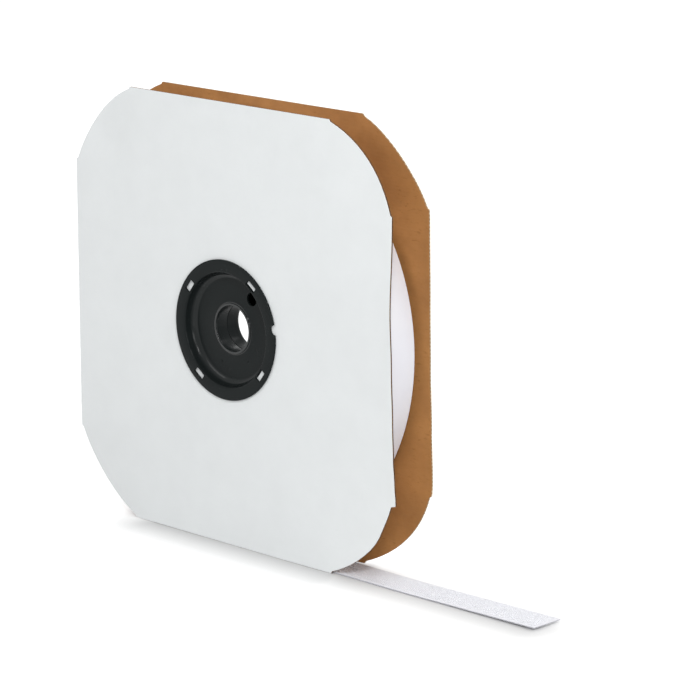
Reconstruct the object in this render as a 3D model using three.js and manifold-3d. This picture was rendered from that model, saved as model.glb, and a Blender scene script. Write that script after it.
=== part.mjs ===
// A reel of self-adhesive hook tape. Two square corrugated flanges stand on the floor and hold a round spool
// between them: two plastic hub halves, a paper core and the wound tape. The free end of the tape leaves the
// pack at the bottom and lies along the floor.
// Millimetres, +Z up. The origin is on the floor under the middle of the flanges, +X is the way the tape
// leaves and -Y is the front. Angles on the front are seen from the front, anticlockwise from +X.
import * as THREE from "three";
import { mergeVertices } from "three/addons/utils/BufferGeometryUtils.js";
import Module from "manifold-3d";

// Tape: one inch wide, wound with its release liner on the outside of each turn
const tapeWidth = 25.4;
const tapeThickness = 0.6;
const releaseLinerThickness = 0.15;
const layerGap = 0.32;
const woundTurns = 1.1;
const packMargin = 1.4;
const sideClearance = 1.8;

// Route of the free end: distance along the floor and share of the height at which the tape leaves the pack
const tailRoute = [
  [0, 1], [7, 0.985], [14, 0.94], [21, 0.87], [28, 0.775], [35, 0.66], [42, 0.54], [49, 0.42],
  [56, 0.305], [63, 0.205], [70, 0.122], [78, 0.055], [86, 0.016], [94, 0.002], [102, 0], [120, 0],
  [138, 0], [156, 0.01], [174, 0.06], [192, 0.15], [208, 0.27], [222, 0.39], [235, 0.52], [249, 0.67],
  [262, 0.82], [275.5, 0.97],
];

// Flange: a square of fine-fluted board with relieved, rounded corners and a hole a little off its middle
const flangeSide = 305;
const holeShift = 2;
const holeDrop = 2.5;
const cornerReach = 56.5;
const cornerRadius = 90;
const shoulderStep = 1.5;
const shoulderSlant = 1;
const boardLiner = 0.35;
const fluteHeight = 0.8;
const flutePitch = 2.55;
const mediumThickness = 0.22;
const glueLine = 0.02;

// Hub half: a dished moulding whose plug passes through the flange
const plugRadius = 40.7;
const plugWall = 1.7;
const plugTaper = 1.2;
const rimOverhang = 7.6;
const rimThickness = 1.5;
const rimEdge = 0.4;
const dishDepth = 8;
const dishFloor = 1.6;
const dishShoulder = 1.2;
const dishFillet = 2.4;
const dishDraft = 0.8;
const boreRadius = 15.9;
const bossWall = 1.6;
const bossSetback = 5.2;
const bossFillet = 0.4;
const bossLip = 0.4;

// Openings and latches of the hub half
const hubTurn = 8;
const latchCount = 4;
const latchWidth = 8;
const latchCatch = 1.3;
const latchLength = 3.2;
const latchRoot = 1.4;
const windowLength = 9;
const windowWidth = 4.6;
const windowInset = 0.5;
const notchRadius = 3.5;
const notchAngle = 9;
const driveHoleRadius = 4.6;
const driveHolePlace = 29.4;
const driveHoleAngle = 51;

// Core: a wound paper tube
const coreWall = 3.6;

// Clearance between neighbouring pieces, and the overrun of a cutting body past the face that it cuts
const seatGap = 0.3;
const cutOverrun = 2;

// Facets in a quarter of a circle, and in a whole turn of the larger rounds
const cornerFacets = 12;
const flangeHoleFacets = 12;
const pinFacets = 8;
const hubFacets = 48;
const coreFacets = 64;
const turnFacets = 96;

// Places that follow from the sizes above
const boardThickness = 2 * boardLiner + fluteHeight;
const flangeGap = tapeWidth + 2 * sideClearance;
const flangeFace = flangeGap / 2 + boardThickness;
const rimFace = flangeFace + seatGap + rimThickness;
const axisPlace = -holeShift;
const axisHeight = flangeSide / 2 - holeDrop;
const flangeHole = plugRadius + seatGap;
const rimRadius = plugRadius + rimOverhang;
const dishRadius = plugRadius - plugWall;
const latchRadius = flangeHole + latchCatch;
const coreInner = latchRadius + seatGap;
const coreOuter = coreInner + coreWall;
const coreWidth = flangeGap - 2 * seatGap;
const tapeBack = releaseLinerThickness + seatGap;
const layerThickness = tapeBack + tapeThickness;
const layerPitch = layerThickness + layerGap;
const packRadius = axisHeight - packMargin;
const innerPackRadius = packRadius - woundTurns * layerPitch - layerThickness - seatGap;

const wasm = await Module();
wasm.setup();

// A closed geometry as a solid for joining and cutting
function solidOf(geometry) {
  const bare = geometry.clone();
  bare.deleteAttribute("normal");
  bare.deleteAttribute("uv");
  const merged = mergeVertices(bare);
  const mesh = new wasm.Mesh({
    numProp: 3,
    vertProperties: merged.getAttribute("position").array,
    triVerts: new Uint32Array(merged.index.array),
  });
  return new wasm.Manifold(mesh);
}

function geometryOf(solid) {
  const mesh = solid.getMesh();
  const geometry = new THREE.BufferGeometry();
  geometry.setAttribute("position", new THREE.BufferAttribute(mesh.vertProperties, 3));
  geometry.setIndex(new THREE.BufferAttribute(mesh.triVerts, 1));
  geometry.computeVertexNormals();
  return geometry;
}

function polar(radius, degrees) {
  const angle = THREE.MathUtils.degToRad(degrees);
  return new THREE.Vector2(radius * Math.cos(angle), radius * Math.sin(angle));
}

function circlePoints(centre, radius, quarterFacets) {
  const points = [];
  for (let k = 0; k < 4 * quarterFacets; k += 1) {
    points.push(polar(radius, (90 * k) / quarterFacets).add(centre));
  }
  return points;
}

// An upright shape, x across and y up, thickened towards the front from y = 0 to y = -depth
function uprightPlate(shape, depth) {
  const plate = new THREE.ExtrudeGeometry(shape, { depth, bevelEnabled: false });
  return plate.rotateX(Math.PI / 2);
}

// Outline of the flange: each straight edge ends in a shoulder, which steps in to the arc of the corner
function flangeShape() {
  const half = flangeSide / 2;
  const edgeEnd = half - cornerReach;
  const arcStart = new THREE.Vector2(half - shoulderStep, edgeEnd + shoulderSlant);
  const chord = Math.SQRT2 * (arcStart.x - arcStart.y);
  const chordToCentre = Math.sqrt(cornerRadius ** 2 - (chord / 2) ** 2);
  const arcCentre = (arcStart.x + arcStart.y) / 2 - chordToCentre / Math.SQRT2;
  const shoulderAngle = Math.asin((arcStart.y - arcCentre) / cornerRadius);
  const centre = new THREE.Vector2(0, half);
  const holeCentre = new THREE.Vector2(axisPlace, axisHeight);
  const outline = [];
  for (let k = 0; k < 4; k += 1) {
    const side = new THREE.Path();
    side.moveTo(half, -edgeEnd);
    side.lineTo(half, edgeEnd);
    side.absarc(arcCentre, arcCentre, cornerRadius, shoulderAngle, Math.PI / 2 - shoulderAngle, false);
    for (const point of side.getPoints(cornerFacets / 2)) {
      outline.push(point.rotateAround(new THREE.Vector2(), (k * Math.PI) / 2).add(centre));
    }
  }
  const shape = new THREE.Shape(outline);
  shape.holes.push(new THREE.Path(circlePoints(holeCentre, flangeHole, flangeHoleFacets)));
  return shape;
}

// The corrugated medium: one sheet folded into flutes that run along X, cut flush with the board
function flutingGeometry() {
  const crest = fluteHeight / 2 - glueLine;
  const trough = mediumThickness - crest;
  const flutes = Math.ceil(flangeSide / flutePitch) + 2;
  const front = [];
  for (let k = 0; k < flutes; k += 1) {
    const rise = (k - 1) * flutePitch;
    front.push(new THREE.Vector2(rise, crest));
    front.push(new THREE.Vector2(rise + flutePitch / 2, trough));
  }
  const back = front.map((point) => new THREE.Vector2(point.x, point.y - mediumThickness));
  const section = new THREE.Shape([...front, ...back.reverse()]);
  const length = flangeSide + 2 * cutOverrun;
  const sheet = new THREE.ExtrudeGeometry(section, { depth: length, bevelEnabled: false });
  sheet.rotateY(-Math.PI / 2);
  sheet.translate(length / 2, 0, 0);
  const board = uprightPlate(flangeShape(), fluteHeight);
  board.translate(0, fluteHeight / 2, 0);
  return geometryOf(solidOf(sheet).intersect(solidOf(board)));
}

// Section of the hub half as radius and depth behind the face of the rim, round from the rim's back edge
function hubSection() {
  const floorBack = dishDepth + dishFloor;
  const boardBack = rimFace - flangeGap / 2;
  const lipDepth = rimFace - flangeFace + bossSetback;
  const bossRadius = boreRadius + bossWall;
  const innerEnd = rimFace - seatGap / 2;
  return [
    [rimRadius, rimThickness],
    [rimRadius, rimEdge],
    [rimRadius - rimEdge, 0],
    [dishRadius + dishShoulder, 0],
    [dishRadius, dishShoulder],
    [dishRadius - dishDraft, dishDepth - dishFillet],
    [dishRadius - dishDraft - dishFillet, dishDepth],
    [bossRadius + bossFillet, dishDepth],
    [bossRadius, dishDepth - bossFillet],
    [bossRadius, lipDepth + bossLip],
    [bossRadius - bossLip, lipDepth],
    [boreRadius + bossLip, lipDepth],
    [boreRadius, lipDepth + bossLip],
    [boreRadius, innerEnd],
    [bossRadius, innerEnd],
    [bossRadius, floorBack],
    [plugRadius - plugTaper - dishShoulder, floorBack],
    [plugRadius - plugTaper, floorBack - dishShoulder],
    [plugRadius, boardBack],
    [plugRadius, rimThickness],
  ];
}

// A body along the reel's axis between two depths behind the rim's face, from points seen from the front
function hubBody(points, fromDepth, toDepth) {
  const body = uprightPlate(new THREE.Shape(points), toDepth - fromDepth);
  return body.translate(0, toDepth - rimFace, 0);
}

function turned(geometry, degrees) {
  return geometry.rotateY(-THREE.MathUtils.degToRad(degrees));
}

// A latch on the outside of the plug, which ramps out to catch the back of the flange
function latchGeometry() {
  const catchPlace = seatGap - flangeGap / 2;
  const ramp = new THREE.Shape([
    new THREE.Vector2(plugRadius - latchRoot, catchPlace),
    new THREE.Vector2(latchRadius, catchPlace),
    new THREE.Vector2(plugRadius - latchRoot, catchPlace + latchLength),
  ]);
  const latch = new THREE.ExtrudeGeometry(ramp, { depth: latchWidth, bevelEnabled: false });
  return latch.translate(0, 0, -latchWidth / 2);
}

// The window in the rim over a latch, through which the flange shows
function windowGeometry() {
  const inside = plugRadius - windowInset;
  const half = windowLength / 2;
  const corners = [
    new THREE.Vector2(inside, -half),
    new THREE.Vector2(inside + windowWidth, -half),
    new THREE.Vector2(inside + windowWidth, half),
    new THREE.Vector2(inside, half),
  ];
  return hubBody(corners, -cutOverrun, rimThickness + seatGap);
}

// The hub half at the front, centred on the reel's axis
function hubGeometry() {
  const section = hubSection().map(([radius, depth]) => new THREE.Vector2(radius, depth - rimFace));
  let hub = solidOf(new THREE.LatheGeometry([...section, section[0]].reverse(), hubFacets));
  for (let k = 0; k < latchCount; k += 1) {
    const angle = hubTurn + ((k + 0.5) * 360) / latchCount;
    hub = hub.add(solidOf(turned(latchGeometry(), angle)));
    hub = hub.subtract(solidOf(turned(windowGeometry(), angle)));
  }
  const notch = circlePoints(polar(rimRadius, notchAngle), notchRadius, pinFacets);
  const driveHole = circlePoints(polar(driveHolePlace, driveHoleAngle), driveHoleRadius, pinFacets);
  hub = hub.subtract(solidOf(hubBody(notch, -cutOverrun, rimThickness + cutOverrun)));
  hub = hub.subtract(solidOf(hubBody(driveHole, -cutOverrun, dishDepth + dishFloor + cutOverrun)));
  return geometryOf(hub);
}

// A plain ring round the reel's axis
function ringGeometry(inner, outer, width, facets) {
  const half = width / 2;
  const section = [
    new THREE.Vector2(inner, -half),
    new THREE.Vector2(outer, -half),
    new THREE.Vector2(outer, half),
    new THREE.Vector2(inner, half),
    new THREE.Vector2(inner, -half),
  ];
  return new THREE.LatheGeometry(section, facets);
}

// Points beside a path, at a distance to its left
function beside(path, distance) {
  return path.map((point, k) => {
    const before = path[Math.max(k - 1, 0)];
    const after = path[Math.min(k + 1, path.length - 1)];
    const along = after.clone().sub(before).normalize();
    return new THREE.Vector2(point.x - along.y * distance, point.y + along.x * distance);
  });
}

// A strip as wide as the tape between two distances from a path, with four corners at each step
function stripGeometry(path, near, far) {
  const half = tapeWidth / 2;
  const lower = beside(path, near);
  const upper = beside(path, far);
  const corners = [];
  const faces = [];
  const addQuad = (a, b, c, d) => faces.push(a, b, c, a, c, d);
  for (let k = 0; k < path.length; k += 1) {
    corners.push(lower[k].x, -half, lower[k].y, lower[k].x, half, lower[k].y);
    corners.push(upper[k].x, half, upper[k].y, upper[k].x, -half, upper[k].y);
  }
  for (let start = 0; start < 4 * (path.length - 1); start += 4) {
    for (let side = 0; side < 4; side += 1) {
      const next = (side + 1) % 4;
      addQuad(start + side, start + next, start + 4 + next, start + 4 + side);
    }
  }
  const last = 4 * (path.length - 1);
  addQuad(0, 3, 2, 1);
  addQuad(last, last + 1, last + 2, last + 3);
  const strip = new THREE.BufferGeometry();
  strip.setAttribute("position", new THREE.Float32BufferAttribute(corners, 3));
  strip.setIndex(faces);
  strip.computeVertexNormals();
  return strip;
}

// The back of the outermost turn, from under its own end round to the bottom, where the tape leaves the pack
function turnPath() {
  const steps = Math.round(woundTurns * turnFacets);
  const path = [];
  for (let k = 0; k <= steps; k += 1) {
    const turnsLeft = (steps - k) / turnFacets;
    const radius = packRadius - layerPitch * turnsLeft;
    const angle = 2 * Math.PI * turnsLeft;
    const across = axisPlace - radius * Math.sin(angle);
    path.push(new THREE.Vector2(across, axisHeight - radius * Math.cos(angle)));
  }
  return path;
}

// The back of the free end, which starts a clearance past the end of the turn and lies along the floor
function tailPath() {
  const start = axisPlace + seatGap;
  return tailRoute.map(([along, share]) => new THREE.Vector2(start + along, share * packMargin));
}

// Least distance from the inside of a wound strip to the outside of the turn below it
function leastSelfGap(path, near, far) {
  const outside = beside(path, near);
  const inside = beside(path, far);
  let least = Infinity;
  for (let k = 0; k < path.length; k += 1) {
    for (let under = 0; under < k - turnFacets / 2; under += 1) {
      least = Math.min(least, inside[k].distanceTo(outside[under]));
    }
  }
  return least;
}

const whiteBoard = { color: 0xe6e8e8, roughness: 0.7, metalness: 0 };
const kraftBoard = { color: 0xb98457, roughness: 0.85, metalness: 0 };
const kraftMedium = { color: 0x9a6c43, roughness: 0.9, metalness: 0 };
const blackPlastic = { color: 0x1a1f1f, roughness: 0.35, metalness: 0 };
const corePaper = { color: 0xa98760, roughness: 0.85, metalness: 0 };
const hookTape = { color: 0xeceef0, roughness: 0.8, metalness: 0 };
const releaseLiner = { color: 0xe5e3ec, roughness: 0.5, metalness: 0 };

const reel = new THREE.Group();

function addPiece(name, geometry, finish) {
  const piece = new THREE.Mesh(geometry, new THREE.MeshStandardMaterial(finish));
  piece.name = name;
  reel.add(piece);
  return piece;
}

// Flanges: the white liner faces out, the brown one faces the tape
const linerPly = uprightPlate(flangeShape(), boardLiner);
const fluting = flutingGeometry();
for (const [side, facing] of [["front", -1], ["rear", 1]]) {
  const outerLiner = addPiece(`${side}_outer_liner`, linerPly, whiteBoard);
  const medium = addPiece(`${side}_fluting`, fluting, kraftMedium);
  const innerLiner = addPiece(`${side}_inner_liner`, linerPly, kraftBoard);
  outerLiner.position.y = facing * (flangeFace - boardLiner / 2) + boardLiner / 2;
  medium.position.y = facing * (flangeGap / 2 + boardLiner + fluteHeight / 2);
  innerLiner.position.y = facing * (flangeGap / 2 + boardLiner / 2) + boardLiner / 2;
}

// Spool: two like hub halves back to back, the core on their latches and the pack on the core
const hub = hubGeometry();
for (const [side, turn] of [["front", 0], ["rear", Math.PI]]) {
  const half = addPiece(`${side}_hub`, hub, blackPlastic);
  half.position.set(axisPlace, 0, axisHeight);
  half.rotation.z = turn;
}
const coreRing = ringGeometry(coreInner, coreOuter, coreWidth, coreFacets);
const packRing = ringGeometry(coreOuter + seatGap, innerPackRadius, tapeWidth, turnFacets);
for (const ring of [addPiece("core_tube", coreRing, corePaper), addPiece("tape_pack", packRing, hookTape)]) {
  ring.position.set(axisPlace, 0, axisHeight);
}

// Outermost turn and free end: the release liner on the back, the tape on the inside of it
const turn = turnPath();
const tail = tailPath();
addPiece("outer_turn_liner", stripGeometry(turn, 0, releaseLinerThickness), releaseLiner);
addPiece("outer_turn_tape", stripGeometry(turn, tapeBack, layerThickness), hookTape);
addPiece("tail_liner", stripGeometry(tail, 0, releaseLinerThickness), releaseLiner);
addPiece("tail_tape", stripGeometry(tail, tapeBack, layerThickness), hookTape);

const woundLength = (Math.PI * (packRadius ** 2 - coreOuter ** 2)) / layerPitch;
console.log(`tape wound on the core: ${(woundLength / 1000).toFixed(2)} m`);
console.log(`least gap of the outer turn to itself: ${leastSelfGap(turn, 0, layerThickness).toFixed(2)} mm`);

export default reel;
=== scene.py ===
import math
import bmesh
import bpy
from mathutils import Euler, Matrix, Vector, noise


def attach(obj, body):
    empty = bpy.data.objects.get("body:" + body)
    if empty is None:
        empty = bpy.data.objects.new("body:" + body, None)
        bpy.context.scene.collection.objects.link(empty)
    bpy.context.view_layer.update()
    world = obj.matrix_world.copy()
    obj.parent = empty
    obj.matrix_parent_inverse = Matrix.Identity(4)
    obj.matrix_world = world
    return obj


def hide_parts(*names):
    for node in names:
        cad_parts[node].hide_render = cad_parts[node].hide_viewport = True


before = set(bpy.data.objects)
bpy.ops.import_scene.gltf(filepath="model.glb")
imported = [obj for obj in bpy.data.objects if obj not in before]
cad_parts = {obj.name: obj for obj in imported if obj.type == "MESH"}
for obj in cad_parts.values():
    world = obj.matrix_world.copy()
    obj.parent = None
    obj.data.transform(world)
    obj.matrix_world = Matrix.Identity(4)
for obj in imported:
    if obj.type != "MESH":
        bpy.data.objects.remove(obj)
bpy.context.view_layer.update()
scene = bpy.context.scene
scene.view_settings.view_transform = "Standard"
mm = 0.001

# the axis of the spool, which runs along Y a little off the middle of the boards
axis = {"across": -2 * mm, "height": 150 * mm}
axisPoint = Vector((axis["across"], 0, axis["height"]))
origin = (0, 0, 0)

# how near counts as the same place, and the angles in degrees from which edges stay sharp
near = {"rim": 1e-6, "level": 1e-7, "merge": 0.002 * mm}
sharpFrom = {"strip": 50, "hook": 60, "board": 30, "hub": 32}


# camera, at the place and turn that the board edges in the photograph give
shot = {"place": (1.61693, -1.53982, 0.6674), "yaw": 44.586, "pitch": 13.451, "roll": -0.089,
        "lens": 174.21, "sensor": 36, "clipEnd": 60}


def setCamera():
    data = bpy.data.cameras.new("shotCamera")
    data.lens = shot["lens"]
    data.sensor_width = shot["sensor"]
    data.clip_end = shot["clipEnd"]
    camera = bpy.data.objects.new("shotCamera", data)
    turn = Euler((math.radians(90 - shot["pitch"]), 0, math.radians(shot["yaw"]))).to_matrix()
    turn = turn @ Matrix.Rotation(math.radians(shot["roll"]), 3, "Z")
    camera.matrix_world = Matrix.Translation(shot["place"]) @ turn.to_4x4()
    scene.collection.objects.link(camera)
    scene.camera = camera


setCamera()
print("camera set")


# small helpers for meshes
def keep(bm, name):
    mesh = bpy.data.meshes.new(name)
    bm.to_mesh(mesh)
    bm.free()
    piece = bpy.data.objects.new(name, mesh)
    scene.collection.objects.link(piece)
    return piece


def soften(piece, degrees):
    piece.data.shade_smooth()
    piece.data.set_sharp_from_angle(angle=math.radians(degrees))


def dress(piece, body, slotName, material, *nodes):
    piece.data.materials.clear()
    piece.data.materials.append(material)
    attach(piece, body)
    if nodes:
        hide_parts(*nodes)


def newVerts(result):
    return [part for part in result["geom"] if isinstance(part, bmesh.types.BMVert)]


def roundOff(bm, parts, offset, segments, affect):
    bmesh.ops.bevel(bm, geom=parts, offset=offset, offset_type="OFFSET", segments=segments,
                    profile=0.5, affect=affect, material=-1)


def turnAbout(bm, angle, letter):
    bmesh.ops.rotate(bm, verts=bm.verts, cent=origin, matrix=Matrix.Rotation(angle, 3, letter))


# the piece with its modifiers worked in, as a bmesh
def worked(piece):
    graph = bpy.context.evaluated_depsgraph_get()
    mesh = bpy.data.meshes.new_from_object(piece.evaluated_get(graph))
    bm = bmesh.new()
    bm.from_mesh(mesh)
    bpy.data.meshes.remove(mesh)
    bpy.data.objects.remove(piece)
    return bm


# value at a place in a table of knots, eased between them
def knotValue(knots, at):
    if at <= knots[0][0]:
        return knots[0][1]
    for (low, a), (high, b) in zip(knots, knots[1:]):
        if at <= high:
            t = (at - low) / (high - low)
            return a + (b - a) * t * t * (3 - 2 * t)
    return knots[-1][1]


# a smooth line in the XZ plane through a few points, with the length up to each of its points
def smoothLine(points, steps):
    line = []
    for k in range(len(points) - 1):
        a, b = points[max(k - 1, 0)], points[k]
        c, d = points[k + 1], points[min(k + 2, len(points) - 1)]
        slopeB = (c - a) * 0.5
        slopeC = (d - b) * 0.5
        for step in range(steps):
            t = step / steps
            line.append(b * (2 * t**3 - 3 * t**2 + 1) + slopeB * (t**3 - 2 * t**2 + t)
                        + c * (3 * t**2 - 2 * t**3) + slopeC * (t**3 - t**2))
    line.append(points[-1])
    return line, lengthsAlong(line)


def lengthsAlong(line):
    lengths = [0.0]
    for a, b in zip(line, line[1:]):
        lengths.append(lengths[-1] + (b - a).length)
    return lengths


# a flat blank along X, with its width on Y
def stripBlank(length, width, low, high, alongCuts, acrossCuts):
    bm = bmesh.new()
    bmesh.ops.create_grid(bm, x_segments=alongCuts, y_segments=acrossCuts, size=0.5)
    bmesh.ops.translate(bm, verts=bm.verts, vec=(0.5, 0, 0))
    bmesh.ops.scale(bm, verts=bm.verts, vec=(length, width, 1))
    bmesh.ops.translate(bm, verts=bm.verts, vec=(0, 0, low))
    raised = newVerts(bmesh.ops.extrude_face_region(bm, geom=bm.faces[:]))
    bmesh.ops.translate(bm, verts=raised, vec=(0, 0, high - low))
    bmesh.ops.recalc_face_normals(bm, faces=bm.faces)
    return bm


def roundRims(bm, width, offset, segments):
    half = width / 2 - near["rim"]
    rims = [edge for edge in bm.edges
            if all(abs(vert.co.y) > half for vert in edge.verts)
            and abs(edge.verts[0].co.z - edge.verts[1].co.z) < near["level"]]
    roundOff(bm, rims, offset, segments, "EDGES")


# a UV map in metres, made on the flat blank so that it stays with the surface
def mapStrip(bm):
    layer = bm.loops.layers.uv.new("strip")
    for face in bm.faces:
        for loop in face.loops:
            loop[layer].uv = (loop.vert.co.x, loop.vert.co.y)


# lays a flat blank along a line: X goes along it, Z to its left, and sway moves it on Y
def layAlong(bm, line, lengths, sway):
    last = len(line) - 1
    place = 0
    for vert in sorted(bm.verts, key=lambda v: v.co.x):
        while place < last - 1 and lengths[place + 1] < vert.co.x:
            place += 1
        share = (vert.co.x - lengths[place]) / (lengths[place + 1] - lengths[place])
        ahead = (line[min(place + 2, last)] - line[place]).normalized()
        behind = (line[place + 1] - line[max(place - 1, 0)]).normalized()
        along = behind.lerp(ahead, share).normalized()
        point = line[place].lerp(line[place + 1], share)
        left = Vector((-along.z, 0, along.x))
        across = vert.co.y + sway(vert.co.x)
        vert.co = point + left * vert.co.z + Vector((0, across, 0))


# a strip of tape or liner between two heights, with rounded rims where rim gives offset and segments
def laidStrip(name, route, sway, width, heights, cuts, rim=None):
    line, lengths = route
    bm = stripBlank(lengths[-1], width, *heights, *cuts)
    if rim:
        roundRims(bm, width, *rim)
    mapStrip(bm)
    layAlong(bm, line, lengths, sway)
    strip = keep(bm, name)
    soften(strip, sharpFrom["strip"])
    return strip


# small helpers for nodes
def addNode(tree, kind, inputs=None, **settings):
    made = tree.nodes.new(kind)
    for key, value in settings.items():
        setattr(made, key, value)
    for key, value in (inputs or {}).items():
        if isinstance(value, bpy.types.NodeSocket):
            tree.links.new(value, made.inputs[key])
        else:
            made.inputs[key].default_value = value
    return made


def mathNode(tree, operation, a, b=0.0):
    return addNode(tree, "ShaderNodeMath", {0: a, 1: b}, operation=operation).outputs[0]


def mixColor(tree, factor, a, b):
    return addNode(tree, "ShaderNodeMix", {0: factor, 6: a, 7: b}, data_type="RGBA").outputs[2]


def spread(tree, value, span, to=(0, 1)):
    return addNode(tree, "ShaderNodeMapRange", {
        "Value": value, "From Min": span[0], "From Max": span[1],
        "To Min": to[0], "To Max": to[1]}).outputs[0]


def noiseValue(tree, vector, look):
    return addNode(tree, "ShaderNodeTexNoise", {"Vector": vector, **look}).outputs[0]


def objectPlace(tree):
    return addNode(tree, "ShaderNodeTexCoord").outputs["Object"]


def apart(tree, vector):
    return addNode(tree, "ShaderNodeSeparateXYZ", {0: vector}).outputs


def shaderOf(material):
    return material.node_tree.nodes["Principled BSDF"]


# shared finishes: node groups that give colour, roughness and height
def newGroup(name, colors, values):
    tree = bpy.data.node_groups.new(name, "ShaderNodeTree")
    for label in colors:
        tree.interface.new_socket(label, in_out="INPUT", socket_type="NodeSocketColor")
    for label in values:
        tree.interface.new_socket(label, in_out="INPUT", socket_type="NodeSocketFloat")
    tree.interface.new_socket("Color", in_out="OUTPUT", socket_type="NodeSocketColor")
    for label in ("Roughness", "Height"):
        tree.interface.new_socket(label, in_out="OUTPUT", socket_type="NodeSocketFloat")
    return tree, tree.nodes.new("NodeGroupInput").outputs, tree.nodes.new("NodeGroupOutput").inputs


# paper: cloudy formation, long fibres and a few dark flecks
paperLook = {
    "cloud": {"Scale": 38, "Detail": 5, "Roughness": 0.62}, "cloudSpan": (0.35, 0.7),
    "stretch": (220, 300, 700), "fibre": {"Scale": 1, "Detail": 3, "Roughness": 0.6},
    "fleckSpan": (0.56, 0.78), "grain": {"Scale": 1500, "Detail": 2},
    "roughSpan": (0.3, 0.7), "roughChange": (-0.06, 0.06), "fibreRelief": 0.7, "grainRelief": 0.3,
}


def paperGroup():
    tree, given, result = newGroup("paperFibre", ["Base", "Fibre"], ["Cloud", "Fleck", "Rough"])
    place = objectPlace(tree)
    stretch = {"Vector": place, "Scale": paperLook["stretch"]}
    cloud = noiseValue(tree, place, paperLook["cloud"])
    fibre = noiseValue(tree, addNode(tree, "ShaderNodeMapping", stretch).outputs[0], paperLook["fibre"])
    grain = noiseValue(tree, place, paperLook["grain"])
    clouds = mathNode(tree, "MULTIPLY", spread(tree, cloud, paperLook["cloudSpan"]), given["Cloud"])
    flecks = mathNode(tree, "MULTIPLY", spread(tree, fibre, paperLook["fleckSpan"]), given["Fleck"])
    tone = mathNode(tree, "MAXIMUM", clouds, flecks)
    change = spread(tree, fibre, paperLook["roughSpan"], paperLook["roughChange"])
    height = mathNode(tree, "ADD", mathNode(tree, "MULTIPLY", fibre, paperLook["fibreRelief"]),
                      mathNode(tree, "MULTIPLY", grain, paperLook["grainRelief"]))
    tree.links.new(mixColor(tree, tone, given["Base"], given["Fibre"]), result["Color"])
    tree.links.new(mathNode(tree, "ADD", given["Rough"], change), result["Roughness"])
    tree.links.new(height, result["Height"])
    return tree


# moulded plastic: fine spark texture, flow marks and a little dust
mouldLook = {
    "spark": {"Scale": 2600, "Detail": 2}, "flow": {"Scale": 55, "Detail": 4, "Distortion": 0.6},
    "speckScale": 420, "speckSpan": (0.12, 0.05), "speckWeight": (0, 0.5), "dustSpan": (0.5, 0.75),
    "roughSpan": (0.3, 0.7), "roughChange": (-0.07, 0.08),
}


def mouldGroup():
    tree, given, result = newGroup("mouldGrain", ["Base", "Dust"], ["Rough"])
    place = objectPlace(tree)
    spark = noiseValue(tree, place, mouldLook["spark"])
    flow = noiseValue(tree, place, mouldLook["flow"])
    cells = addNode(tree, "ShaderNodeTexVoronoi", {"Vector": place, "Scale": mouldLook["speckScale"]})
    specks = spread(tree, cells.outputs["Distance"], mouldLook["speckSpan"], mouldLook["speckWeight"])
    dust = mathNode(tree, "MULTIPLY", specks, spread(tree, flow, mouldLook["dustSpan"]))
    change = spread(tree, flow, mouldLook["roughSpan"], mouldLook["roughChange"])
    tree.links.new(mixColor(tree, dust, given["Base"], given["Dust"]), result["Color"])
    tree.links.new(mathNode(tree, "ADD", given["Rough"], change), result["Roughness"])
    tree.links.new(spark, result["Height"])
    return tree


# woven tape: warp ends and picks that pass over and under, on the strip's own UV map; the colour is painted
# darker where the weave dips under, a painted shade in its hollows, and varies at random with the slubs
weaveLook = {
    "pick": 1.1 * mm, "warp": 0.8 * mm, "waveSpan": (-1, 1), "hollowShade": (0.45, 0),
    "slub": {"Scale": 260, "Detail": 3}, "slubSpan": (0.3, 0.7), "slubTone": (0, 0.4),
    "roughChange": (-0.05, 0.05),
}


def weaveGroup():
    tree, given, result = newGroup("tapeWeave", ["Base", "Shade"], ["Rough"])
    onStrip = apart(tree, addNode(tree, "ShaderNodeUVMap", uv_map="strip").outputs[0])
    waves = []
    for place, pitch in ((onStrip[0], weaveLook["pick"]), (onStrip[1], weaveLook["warp"])):
        waves.append(mathNode(tree, "SINE", mathNode(tree, "MULTIPLY", place, 2 * math.pi / pitch)))
    weave = mathNode(tree, "MULTIPLY", *waves)
    slub = noiseValue(tree, objectPlace(tree), weaveLook["slub"])
    # painted shade in the weave's low cells, plus random slub tone
    tone = mathNode(tree, "ADD", spread(tree, weave, weaveLook["waveSpan"], weaveLook["hollowShade"]),
                    spread(tree, slub, weaveLook["slubSpan"], weaveLook["slubTone"]))
    change = spread(tree, slub, weaveLook["slubSpan"], weaveLook["roughChange"])
    tree.links.new(mixColor(tree, tone, given["Base"], given["Shade"]), result["Color"])
    tree.links.new(mathNode(tree, "ADD", given["Rough"], change), result["Roughness"])
    tree.links.new(spread(tree, weave, weaveLook["waveSpan"]), result["Height"])
    return tree


finishGroups = {"paper": paperGroup(), "mould": mouldGroup(), "weave": weaveGroup()}


# a material from one of the groups, with the values that are the same all over on the shader itself
def makeFinish(name, group, values, bump, **sockets):
    material = bpy.data.materials.new(name)
    material.use_nodes = True
    tree = material.node_tree
    shader = shaderOf(material)
    placed = addNode(tree, "ShaderNodeGroup", node_tree=finishGroups[group])
    for key, value in values.items():
        placed.inputs[key].default_value = value
    tree.links.new(placed.outputs["Color"], shader.inputs["Base Color"])
    tree.links.new(placed.outputs["Roughness"], shader.inputs["Roughness"])
    relief = addNode(tree, "ShaderNodeBump", {"Height": placed.outputs["Height"],
                                              "Strength": bump[0], "Distance": bump[1]})
    tree.links.new(relief.outputs[0], shader.inputs["Normal"])
    for key, value in sockets.items():
        shader.inputs[key.replace("_", " ")].default_value = value
    return material


# plies of the boards: how far a cut edge faces away from Y, and the flutes that show on the liners
plies = {"cutSpan": (0.2, 0.35), "flutePitch": 2.55 * mm, "waveTurn": math.pi / 10}
whiteFlutes = {"strength": 0.25, "distance": 0.02 * mm}
kraftFlutes = {"strength": 0.4, "distance": 0.05 * mm}
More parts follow.
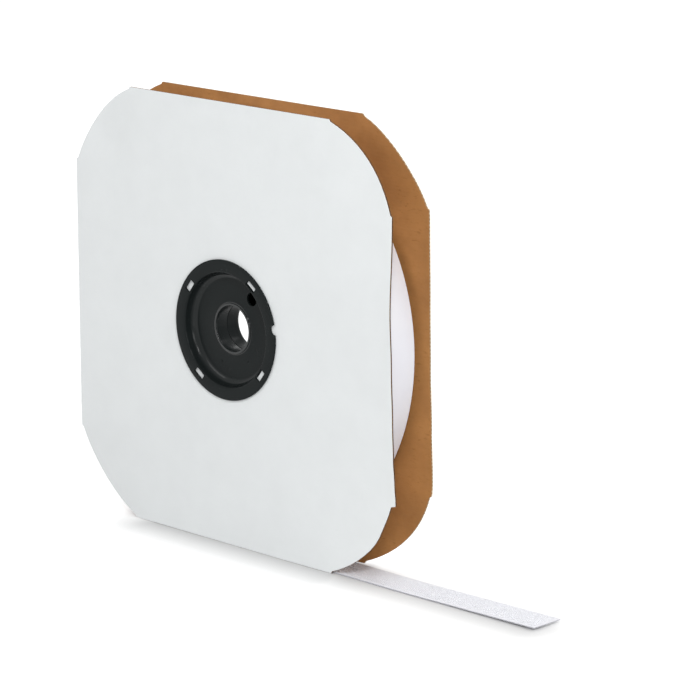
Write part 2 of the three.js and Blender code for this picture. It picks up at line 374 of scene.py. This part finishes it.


# ply: the paper finish, with another colour on the cut edges of the front and of the rear board: painted
# shade and a painted bright line on the front board's cut edges, painted light on the rear board's
def makePlyFinish(name, values, cutShadeAndLight, bump):
    material = makeFinish(name, "paper", values, bump)
    tree = material.node_tree
    coords = addNode(tree, "ShaderNodeTexCoord").outputs
    facing = apart(tree, coords["Normal"])[1]
    cut = spread(tree, mathNode(tree, "ABSOLUTE", facing), plies["cutSpan"], (1, 0))
    # painted light and shade: the cut edges of the rear board take the second, lit colour, those of the front
    # board the first
    rear = mathNode(tree, "GREATER_THAN", apart(tree, coords["Object"])[1], 0.0)
    baseColor = shaderOf(material).inputs["Base Color"]
    face = baseColor.links[0].from_socket
    tree.links.new(mixColor(tree, cut, face, mixColor(tree, rear, *cutShadeAndLight)), baseColor)
    return material


# liner: a ply on which the flutes show faintly
def makeLinerFinish(name, values, cutShadeAndLight, bump, flutes):
    material = makePlyFinish(name, values, cutShadeAndLight, bump)
    tree = material.node_tree
    relief = next(node for node in tree.nodes if node.type == "BUMP")
    waves = {"Vector": objectPlace(tree), "Scale": plies["waveTurn"] / plies["flutePitch"], "Distortion": 0.0}
    bands = addNode(tree, "ShaderNodeTexWave", waves, wave_type="BANDS", bands_direction="Z")
    ridges = addNode(tree, "ShaderNodeBump", {
        "Height": bands.outputs["Fac"], "Strength": flutes["strength"],
        "Distance": flutes["distance"], "Normal": relief.outputs[0]})
    tree.links.new(ridges.outputs[0], shaderOf(material).inputs["Normal"])
    return material


# polished rings of the mould: the lip of the bore and the fillet of the dish, on outer faces only
polish = {
    "from": 9.4 * mm, "fade": 0.5 * mm,
    "rings": [{"radius": 16.8 * mm, "half": 1.2 * mm, "weight": 0.75},
              {"radius": 36.4 * mm, "half": 1.2 * mm, "weight": 0.22}],
}


def polishRings(material):
    tree = material.node_tree
    centre = {"Vector": objectPlace(tree), "Location": -axisPoint}
    place = apart(tree, addNode(tree, "ShaderNodeMapping", centre).outputs[0])
    across = mathNode(tree, "MULTIPLY", place[0], place[0])
    upward = mathNode(tree, "MULTIPLY", place[2], place[2])
    radius = mathNode(tree, "SQRT", mathNode(tree, "ADD", across, upward))
    outward = mathNode(tree, "ABSOLUTE", place[1])
    rings = []
    for ring in polish["rings"]:
        off = mathNode(tree, "ABSOLUTE", mathNode(tree, "SUBTRACT", radius, ring["radius"]))
        rings.append(spread(tree, off, (ring["half"], ring["half"] + polish["fade"]), (ring["weight"], 0)))
    facing = spread(tree, outward, (polish["from"], polish["from"] + polish["fade"]))
    shine = mathNode(tree, "MULTIPLY", mathNode(tree, "MAXIMUM", *rings), facing)
    tree.links.new(shine, shaderOf(material).inputs["Coat Weight"])


# cut colours are for the front and the rear board, and bumps are strength and distance. The cut colours are
# painted light and shade: on the front board the kraft plies' cut edges are painted near black as flute
# openings in shadow and the white liner's edge as a bright line, on the rear board the cut edges are painted
# lighter as a lit edge
whiteLiner = makeLinerFinish("whiteLiner", {
    "Base": (0.79, 0.815, 0.82, 1), "Fibre": (0.69, 0.712, 0.717, 1),
    "Cloud": 0.25, "Fleck": 0.22, "Rough": 0.6},
    ((0.9, 0.88, 0.84, 1), (0.8, 0.66, 0.46, 1)), (0.12, 0.03 * mm), whiteFlutes)
kraftLiner = makeLinerFinish("kraftLiner", {
    "Base": (0.455, 0.212, 0.064, 1), "Fibre": (0.28, 0.119, 0.033, 1),
    "Cloud": 0.6, "Fleck": 0.8, "Rough": 0.82},
    ((0.03, 0.018, 0.012, 1), (0.36, 0.2, 0.09, 1)), (0.3, 0.05 * mm), kraftFlutes)
kraftMedium = makePlyFinish("kraftMedium", {
    "Base": (0.22, 0.12, 0.058, 1), "Fibre": (0.14, 0.07, 0.03, 1),
    "Cloud": 0.5, "Fleck": 0.8, "Rough": 0.9},
    ((0.04, 0.024, 0.015, 1), (0.74, 0.56, 0.34, 1)), (0.3, 0.05 * mm))
corePaper = makeFinish("corePaper", "paper", {
    "Base": (0.42, 0.28, 0.16, 1), "Fibre": (0.26, 0.16, 0.08, 1),
    "Cloud": 0.5, "Fleck": 0.8, "Rough": 0.88}, (0.3, 0.05 * mm))
blackPlastic = makeFinish("blackPlastic", "mould", {
    "Base": (0.0105, 0.0132, 0.0134, 1), "Dust": (0.08, 0.085, 0.085, 1), "Rough": 0.22},
    (0.08, 0.02 * mm), Specular_IOR_Level=0.08, Coat_Roughness=0.1)
polishRings(blackPlastic)
hookFabric = makeFinish("hookFabric", "weave", {
    "Base": (0.83, 0.835, 0.862, 1), "Shade": (0.68, 0.685, 0.745, 1), "Rough": 0.72},
    (0.6, 0.12 * mm), Sheen_Weight=0.25, Sheen_Roughness=0.4)
hookNylon = makeFinish("hookNylon", "mould", {
    "Base": (0.82, 0.828, 0.852, 1), "Dust": (0.75, 0.76, 0.79, 1), "Rough": 0.42},
    (0.02, 0.005 * mm), Subsurface_Weight=0.15, Subsurface_Radius=(0.4 * mm, 0.4 * mm, 0.4 * mm))
satinLiner = makeFinish("satinLiner", "paper", {
    "Base": (0.765, 0.768, 0.81, 1), "Fibre": (0.67, 0.67, 0.735, 1),
    "Cloud": 0.3, "Fleck": 0.2, "Rough": 0.46}, (0.06, 0.02 * mm))
print("finishes made")


# free end of the tape: its route is the one of the solids, as mm along the floor and share of the rise
tail = {
    "start": -1.7 * mm, "rise": 1.4 * mm, "width": 25.4 * mm, "linerThickness": 0.15 * mm,
    "back": 0.45 * mm, "fabricTop": 0.75 * mm, "selvedge": 0.12 * mm, "rimSteps": 3,
    "alongCuts": 140, "acrossCuts": 14, "lineSteps": 8, "pathStep": 4,
    "route": [
        (0, 1), (7, 0.985), (14, 0.94), (21, 0.87), (28, 0.775), (35, 0.66), (42, 0.54), (49, 0.42),
        (56, 0.305), (63, 0.205), (70, 0.122), (78, 0.055), (86, 0.016), (94, 0.002), (102, 0), (120, 0),
        (138, 0), (156, 0.01), (174, 0.06), (192, 0.15), (208, 0.27), (222, 0.39), (235, 0.52), (249, 0.67),
        (262, 0.82), (275.5, 0.97)],
    "sway": [(0, 0), (95, -0.4), (150, -0.8), (215, 0), (276, 0)],
}
hooks = {
    "post": 0.24 * mm, "radius": 0.085 * mm, "curl": 0.13 * mm, "curlAngle": 215, "curlSteps": 4,
    "sides": 4, "alongPitch": 1.6 * mm, "acrossPitch": 1.4 * mm, "margin": 1.5 * mm, "sunk": 0.05 * mm,
    "lean": 0.25, "leanScale": 7.31, "leanSeed": 5,
}


def tailSway(along):
    return knotValue(tail["sway"], along / mm) * mm


def oneHook(bm, place, facing):
    post = bmesh.ops.create_circle(bm, segments=hooks["sides"], radius=hooks["radius"])["verts"]
    bmesh.ops.translate(bm, verts=post, vec=place)
    ring = [edge for edge in bm.edges if all(vert in post for vert in edge.verts)]
    raised = bmesh.ops.extrude_edge_only(bm, edges=ring)
    bmesh.ops.translate(bm, verts=newVerts(raised), vec=(0, 0, hooks["post"]))
    centre = place + Vector((facing * hooks["curl"], 0, hooks["post"]))
    ends = bmesh.ops.spin(bm, geom=raised["geom"], cent=centre, axis=(0, facing, 0), dvec=origin,
                          angle=math.radians(hooks["curlAngle"]), steps=hooks["curlSteps"])["geom_last"]
    bmesh.ops.edgeloop_fill(bm, edges=[part for part in ends if isinstance(part, bmesh.types.BMEdge)])


# hooks: a pair that face opposite ways, repeated in rows across and along, each leaning a little
def hookField(route):
    line, lengths = route
    bm = bmesh.new()
    oneHook(bm, Vector(origin), 1)
    oneHook(bm, Vector((hooks["alongPitch"] / 2, hooks["acrossPitch"], 0)), -1)
    bmesh.ops.recalc_face_normals(bm, faces=bm.faces)
    rows = int((tail["width"] - 2 * hooks["margin"]) / (2 * hooks["acrossPitch"]))
    picks = int((lengths[-1] - 2 * hooks["margin"]) / hooks["alongPitch"])
    firstRow = -(2 * rows - 1) * hooks["acrossPitch"] / 2
    first = (hooks["margin"], firstRow, tail["fabricTop"] - hooks["sunk"])
    bmesh.ops.translate(bm, verts=bm.verts, vec=first)
    field = keep(bm, "tailHooks")
    for count, offset in ((rows, (0, 2 * hooks["acrossPitch"], 0)), (picks, (hooks["alongPitch"], 0, 0))):
        array = field.modifiers.new("rows", "ARRAY")
        array.count = count
        array.use_relative_offset = False
        array.use_constant_offset = True
        array.constant_offset_displace = offset
    bm = worked(field)
    noise.seed_set(hooks["leanSeed"])  # every run leans them alike
    for vert in bm.verts:
        lift = vert.co.z - tail["fabricTop"]
        row = round(vert.co.y / hooks["acrossPitch"])
        cell = Vector((round(vert.co.x / hooks["alongPitch"]), row, 0))
        lean = noise.noise_vector(cell * hooks["leanScale"]) * hooks["lean"]
        vert.co.x += lift * lean.x
        vert.co.y += lift * lean.y
    layAlong(bm, line, lengths, tailSway)
    field = keep(bm, "tailHooks")
    soften(field, sharpFrom["hook"])
    print("hooks:", 2 * rows * picks)
    return field


def makeTail():
    points = [Vector((tail["start"] + along * mm, 0, share * tail["rise"])) for along, share in tail["route"]]
    line, lengths = smoothLine(points, tail["lineSteps"])
    route = (line, lengths)
    fabric = laidStrip("tailFabric", route, tailSway, tail["width"], (tail["back"], tail["fabricTop"]),
                       (tail["alongCuts"], tail["acrossCuts"]), (tail["selvedge"], tail["rimSteps"]))
    liner = laidStrip("tailLiner", route, tailSway, tail["width"], (0, tail["linerThickness"]),
                      (tail["alongCuts"], 1))
    field = hookField(route)
    dress(fabric, "flange_stand", "hook_tape", hookFabric, "tail_tape")
    dress(liner, "flange_stand", "release_liner", satinLiner, "tail_liner")
    dress(field, "flange_stand", "hook_tape", hookNylon)


makeTail()


# wound tape: the outer turn stays with the boards, the turns under it go round with the spool
wound = {
    "pitch": 1.37 * mm, "radius": 148.6 * mm, "turns": 1.1, "turnCuts": 180, "acrossCuts": 4,
    "width": 25.4 * mm, "linerThickness": 0.15 * mm, "tapeBack": 0.45 * mm, "tapeTop": 1.05 * mm,
    "selvedge": 0.2 * mm, "rimSteps": 2,
    "innerRadius": 145.7 * mm, "innerTurns": 71.5, "innerCuts": 96, "innerStart": 0.1,
    "wander": 0.35 * mm, "wanderScale": 14, "wanderRow": (3.7, 0.2),
}


def spiralLine(radius, turns, cuts, ending):
    line = []
    steps = round(turns * cuts)
    for k in range(steps + 1):
        left = (steps - k) / cuts
        angle = 2 * math.pi * (left + ending)
        reach = radius - wound["pitch"] * left
        line.append(axisPoint + Vector((-reach * math.sin(angle), 0, -reach * math.cos(angle))))
    return line, lengthsAlong(line)


def wander(along):
    return wound["wander"] * noise.noise(Vector((along * wound["wanderScale"], *wound["wanderRow"])))


def woundStrip(name, route, heights, acrossCuts, rim=None):
    cuts = (len(route[0]) - 1, acrossCuts)
    return laidStrip(name, route, wander, wound["width"], heights, cuts, rim)


def makeWound():
    linerHeights = (0, wound["linerThickness"])
    tapeHeights = (wound["tapeBack"], wound["tapeTop"])
    route = spiralLine(wound["radius"], wound["turns"], wound["turnCuts"], 0)
    liner = woundStrip("outerTurnLiner", route, linerHeights, wound["acrossCuts"])
    turn = woundStrip("outerTurnTape", route, tapeHeights, wound["acrossCuts"],
                      (wound["selvedge"], wound["rimSteps"]))
    dress(liner, "flange_stand", "release_liner", satinLiner, "outer_turn_liner")
    dress(turn, "flange_stand", "hook_tape", hookFabric, "outer_turn_tape")

    route = spiralLine(wound["innerRadius"], wound["innerTurns"], wound["innerCuts"], wound["innerStart"])
    turns = woundStrip("woundTape", route, tapeHeights, 1)
    under = woundStrip("woundLiner", route, linerHeights, 1)
    dress(turns, "spool", "hook_tape", hookFabric, "tape_pack")
    dress(under, "spool", "release_liner", satinLiner)
    print("tape wound, m:", round(route[1][-1], 2))


makeWound()


# boards: the plies of the solids, cut into a grid and bowed as the photograph shows them
boards = {
    "half": 152.5 * mm, "columns": 25, "rows": 50, "heldTo": 50 * mm,
    "cornerFrom": 88 * mm, "cornerReach": 40 * mm,
    # in mm: bow and trim of the right edge by height, and curl of the corners as seen from the front
    "front": {"power": 1.6,
              "bow": [(0, 2.5), (14, 5), (26, 5.2), (42, 3.8), (57, 3.4), (72, 2.2), (88, 0.9),
                      (112, 0), (149, -1.2), (185, -2.5), (240, -0.5), (305, 0)],
              "curl": {"topLeft": 2.4, "bottomLeft": 2.4, "topRight": 1.2, "bottomRight": 0},
              "trim": [(20, 0), (44, -2.4), (55.7, -2.4), (56.4, 0)]},
    "rear": {"power": 1.5,
             "bow": [(0, 5.2), (54, 6.4), (64, 7.6), (100, 6.5), (142, 5.2), (189, 4.6), (240, 3.9),
                     (305, 2.6)],
             "curl": {"topLeft": 0, "bottomLeft": 0, "topRight": -3, "bottomRight": 3},
             "trim": [(0, 0)]},
}


def boardShift(side, point):
    shape = boards[side]
    reach = max(0, point.x - boards["heldTo"]) / (boards["half"] - boards["heldTo"])
    bow = knotValue(shape["bow"], point.z / mm) * reach ** shape["power"]
    trim = knotValue(shape["trim"], point.z / mm) * reach ** shape["power"]
    rise = point.z - boards["half"]
    corner = ("top" if rise > 0 else "bottom") + ("Right" if point.x > 0 else "Left")
    past = (min(abs(point.x), abs(rise)) - boards["cornerFrom"]) / boards["cornerReach"]
    curl = knotValue([(0, 0), (1, shape["curl"][corner])], past)
    return Vector((trim, bow + curl, 0)) * mm


def bowedPly(side, node, name, inRows):
    bm = bmesh.new()
    bm.from_mesh(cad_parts[node].data)
    bmesh.ops.remove_doubles(bm, verts=bm.verts, dist=near["merge"])
    cuts = [(boards["columns"], (1, 0, 0))]
    if inRows:
        cuts.append((boards["rows"], (0, 0, 1)))
    corner = Vector((-boards["half"], 0, 0))
    for count, across in cuts:
        for k in range(1, count):
            place = corner + Vector(across) * (2 * boards["half"] * k / count)
            bmesh.ops.bisect_plane(bm, geom=bm.verts[:] + bm.edges[:] + bm.faces[:], dist=near["level"],
                                   plane_co=place, plane_no=across)
    for vert in bm.verts:
        vert.co += boardShift(side, vert.co)
    ply = keep(bm, name)
    if "custom_normal" in ply.data.attributes:  # stored for the flat ply
        ply.data.attributes.remove(ply.data.attributes["custom_normal"])
    soften(ply, sharpFrom["board"])
    return ply


def makeBoards():
    for side in ("front", "rear"):
        face = bowedPly(side, f"{side}_outer_liner", f"{side}WhiteLiner", True)
        medium = bowedPly(side, f"{side}_fluting", f"{side}Fluting", False)
        back = bowedPly(side, f"{side}_inner_liner", f"{side}KraftLiner", True)
        dress(face, "flange_stand", "white_liner", whiteLiner, f"{side}_outer_liner")
        dress(medium, "flange_stand", "fluting_medium", kraftMedium, f"{side}_fluting")
        dress(back, "flange_stand", "kraft_liner", kraftLiner, f"{side}_inner_liner")
        print(side, "board bowed, faces:", len(face.data.polygons), len(medium.data.polygons))


makeBoards()


# hub half, in mm: a turned dish with rounded corners, then its openings, latches and nibs
hubHalf = {
    "face": 17.8, "steps": 160, "cornerSteps": 5, "pinSides": 40, "turn": 8, "latches": 4,
    # radius, depth behind the face of the rim, and rounding
    "section": [
        (48.3, 1.5, 0.15), (48.3, 0, 0.5), (39.3, 0, 1.2), (38.6, 8, 4.5), (17.5, 8, 0.3), (17.5, 7, 0.35),
        (15.9, 7, 0.4), (15.9, 17.65, 0.3), (17.5, 17.65, 0.3), (17.5, 9.6, 0.8), (39.4, 9.6, 1.4),
        (40.7, 3.3, 0.2), (40.7, 1.5, 0.15)],
    "window": {"inner": 40.2, "width": 4.6, "length": 9, "depth": 6, "rounding": 0.5, "steps": 4},
    "notch": {"out": 48.3, "degrees": 9, "radius": 3.5, "depths": (-2, 3)},
    "driveHole": {"out": 29.4, "degrees": 51, "radius": 4.6, "depths": (5, 12)},
    "latch": {"catch": 42.3, "root": 39.3, "place": -14.2, "lip": 0.5, "length": 3.2, "width": 8},
    "nib": {"places": [(26.7, -114.6), (25.1, -55.4)], "depth": 8, "radius": 0.8, "flatten": 0.5,
            "cuts": (20, 10)},
}


def fromFront(radius, degrees, depth):
    angle = math.radians(degrees)
    return Vector((radius * math.cos(angle), depth - hubHalf["face"], radius * math.sin(angle))) * mm


def turnedBody():
    bm = bmesh.new()
    corners = [bm.verts.new(fromFront(radius, 0, depth)) for radius, depth, _ in hubHalf["section"]]
    bm.faces.new(corners)
    for vert, (_, _, rounding) in zip(corners, hubHalf["section"]):
        roundOff(bm, [vert], rounding * mm, hubHalf["cornerSteps"], "VERTICES")
    bmesh.ops.delete(bm, geom=bm.faces[:], context="FACES_ONLY")
    bmesh.ops.spin(bm, geom=bm.verts[:] + bm.edges[:], cent=origin, axis=(0, 1, 0), dvec=origin,
                   angle=2 * math.pi, steps=hubHalf["steps"], use_merge=True)
    bmesh.ops.remove_doubles(bm, verts=bm.verts, dist=near["merge"])
    bmesh.ops.recalc_face_normals(bm, faces=bm.faces)
    return keep(bm, "hubTurned")


# a round pin along the axis, as large as the hole that it cuts
def holePin(name, hole):
    start, end = hole["depths"]
    radius = hole["radius"] * mm
    bm = bmesh.new()
    bmesh.ops.create_cone(bm, cap_ends=True, segments=hubHalf["pinSides"], radius1=radius, radius2=radius,
                          depth=(end - start) * mm)
    turnAbout(bm, math.pi / 2, "X")
    bmesh.ops.translate(bm, verts=bm.verts, vec=fromFront(hole["out"], hole["degrees"], (start + end) / 2))
    return keep(bm, name)


def windowBlock(degrees):
    window = hubHalf["window"]
    bm = bmesh.new()
    bmesh.ops.create_cube(bm, size=mm)
    bmesh.ops.scale(bm, verts=bm.verts, vec=(window["width"], window["depth"], window["length"]))
    upright = [edge for edge in bm.edges if abs(edge.verts[0].co.y - edge.verts[1].co.y) > mm]
    roundOff(bm, upright, window["rounding"] * mm, window["steps"], "EDGES")
    middle = (window["inner"] + window["width"] / 2) * mm
    bmesh.ops.translate(bm, verts=bm.verts, vec=(middle, -hubHalf["face"] * mm, 0))
    turnAbout(bm, -math.radians(degrees), "Y")
    return keep(bm, "windowBlock")


def latchRamp(degrees):
    latch = hubHalf["latch"]
    half = latch["width"] / 2
    bm = bmesh.new()
    corners = [(latch["root"], latch["place"]), (latch["catch"], latch["place"]),
               (latch["catch"], latch["place"] + latch["lip"]),
               (latch["root"], latch["place"] + latch["length"])]
    ramp = bm.faces.new([bm.verts.new(Vector((radius, depth, -half)) * mm) for radius, depth in corners])
    raised = newVerts(bmesh.ops.extrude_face_region(bm, geom=[ramp]))
    bmesh.ops.translate(bm, verts=raised, vec=(0, 0, latch["width"] * mm))
    bmesh.ops.recalc_face_normals(bm, faces=bm.faces)
    turnAbout(bm, -math.radians(degrees), "Y")
    return keep(bm, "latchRamp")


def nibDome(radius, degrees):
    nib = hubHalf["nib"]
    around, upward = nib["cuts"]
    bm = bmesh.new()
    bmesh.ops.create_uvsphere(bm, u_segments=around, v_segments=upward, radius=nib["radius"] * mm)
    bmesh.ops.scale(bm, verts=bm.verts, vec=(1, nib["flatten"], 1))
    bmesh.ops.translate(bm, verts=bm.verts, vec=fromFront(radius, degrees, nib["depth"]))
    return keep(bm, "nibDome")


def makeHubs():
    body = turnedBody()
    additions, cuts = [], []
    for k in range(hubHalf["latches"]):
        degrees = hubHalf["turn"] + (k + 0.5) * 360 / hubHalf["latches"]
        additions.append(latchRamp(degrees))
        cuts.append(windowBlock(degrees))
    additions += [nibDome(radius, degrees) for radius, degrees in hubHalf["nib"]["places"]]
    cuts.append(holePin("notchPin", hubHalf["notch"]))
    cuts.append(holePin("drivePin", hubHalf["driveHole"]))
    for tools, operation in ((additions, "UNION"), (cuts, "DIFFERENCE")):
        for tool in tools:
            change = body.modifiers.new(tool.name, "BOOLEAN")
            change.operation = operation
            change.solver = "EXACT"
            change.object = tool
    bm = worked(body)
    for tool in additions + cuts:
        bpy.data.objects.remove(tool)
    bmesh.ops.remove_doubles(bm, verts=bm.verts, dist=near["merge"])
    turned = bm.copy()
    turnAbout(turned, math.pi, "Z")
    for mesh, side in ((bm, "front"), (turned, "rear")):
        bmesh.ops.translate(mesh, verts=mesh.verts, vec=axisPoint)
        half = keep(mesh, f"{side}HubHalf")
        soften(half, sharpFrom["hub"])
        dress(half, "spool", "black_plastic", blackPlastic, f"{side}_hub")
        print(side, "hub half, faces:", len(half.data.polygons))


makeHubs()


# core: the solid is right as it is and only gets its paper
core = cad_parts["core_tube"]
core.data.materials.clear()
core.data.materials.append(corePaper)


# floor and light
studio = {
    "floorReach": 14, "floorDrop": 0.3 * mm, "floorGrey": 0.64, "sky": 0.48,
    # what the floor adds for the camera, less beside the feet of the boards and the near edge of the tape: a
    # painted shadow there, so that the floor's own shading shows as a contact shadow
    "fill": 0.7, "fillInShadow": 0, "shadowReach": 43 * mm,
    "shadowBoxes": [((-76 * mm, -18 * mm), (97 * mm, -12 * mm)), ((95 * mm, -13 * mm), (268 * mm, -8 * mm))],
}


def cameraLike(tree):
    path = addNode(tree, "ShaderNodeLightPath").outputs
    seen = mathNode(tree, "MAXIMUM", path["Is Camera Ray"], path["Is Glossy Ray"])
    return mathNode(tree, "MAXIMUM", seen, path["Is Transmission Ray"])


# distance of a place on the floor from a box on it
def boxDistance(tree, place, low, high):
    gaps = []
    for k in (0, 1):
        before = mathNode(tree, "SUBTRACT", low[k], place[k])
        after = mathNode(tree, "SUBTRACT", place[k], high[k])
        gap = mathNode(tree, "MAXIMUM", mathNode(tree, "MAXIMUM", before, after), 0.0)
        gaps.append(mathNode(tree, "MULTIPLY", gap, gap))
    return mathNode(tree, "SQRT", mathNode(tree, "ADD", *gaps))


def makeFloor():
    bm = bmesh.new()
    bmesh.ops.create_grid(bm, x_segments=1, y_segments=1, size=studio["floorReach"])
    bmesh.ops.translate(bm, verts=bm.verts, vec=(0, 0, -studio["floorDrop"]))
    floor = keep(bm, "studioFloor")
    material = bpy.data.materials.new("studioFloor")
    material.use_nodes = True
    tree = material.node_tree
    tree.nodes.clear()
    grey = studio["floorGrey"]
    matt = addNode(tree, "ShaderNodeBsdfDiffuse", {"Color": (grey, grey, grey, 1)})
    place = apart(tree, objectPlace(tree))
    # painted shadow: the fill fades in with the distance from these boxes
    beside = [boxDistance(tree, place, low, high) for low, high in studio["shadowBoxes"]]
    level = spread(tree, mathNode(tree, "MINIMUM", *beside), (0, studio["shadowReach"]),
                   (studio["fillInShadow"], studio["fill"]))
    strength = mathNode(tree, "MULTIPLY", cameraLike(tree), level)
    fill = addNode(tree, "ShaderNodeEmission", {"Strength": strength})
    both = addNode(tree, "ShaderNodeAddShader", {0: matt.outputs[0], 1: fill.outputs[0]})
    addNode(tree, "ShaderNodeOutputMaterial", {"Surface": both.outputs[0]})
    floor.data.materials.append(material)


def makeWorld():
    world = bpy.data.worlds.new("studioWorld")
    scene.world = world
    world.use_nodes = True
    tree = world.node_tree
    back = tree.nodes["Background"]
    back.inputs["Color"].default_value = (1, 1, 1, 1)
    level = spread(tree, cameraLike(tree), (0, 1), (studio["sky"], 1))
    tree.links.new(level, back.inputs["Strength"])


lamps = [
    {"name": "keyPanel", "place": (-0.9, -2.1, 1.35), "aim": (0, 0, 0.14), "size": (1.3, 0.9), "power": 10},
    {"name": "glintPanel", "place": (1.5, -1.3, 1.55), "aim": (0, 0, 0.14), "size": (0.5, 0.4), "power": 18},
    {"name": "sidePanel", "place": (2.05, -1.05, 0.8), "aim": (0.1, 0, 0.12), "size": (0.7, 0.6),
     "power": 15},
    {"name": "topPanel", "place": (0.9, 0.9, 2.2), "aim": (0.05, 0, 0.1), "size": (1.6, 1.2), "power": 15},
    {"name": "backPanel", "place": (-0.8, 2.2, 1.3), "aim": (0, 0, 0.14), "size": (1.3, 0.9), "power": 11},
]


def makeLamps():
    for lamp in lamps:
        data = bpy.data.lights.new(lamp["name"], "AREA")
        data.shape = "RECTANGLE"
        data.size, data.size_y = lamp["size"]
        data.energy = lamp["power"]
        panel = bpy.data.objects.new(lamp["name"], data)
        facing = Vector(lamp["aim"]) - Vector(lamp["place"])
        turn = facing.to_track_quat("-Z", "Y").to_matrix().to_4x4()
        panel.matrix_world = Matrix.Translation(lamp["place"]) @ turn
        scene.collection.objects.link(panel)


makeFloor()
makeWorld()
makeLamps()
print("floor and light set")
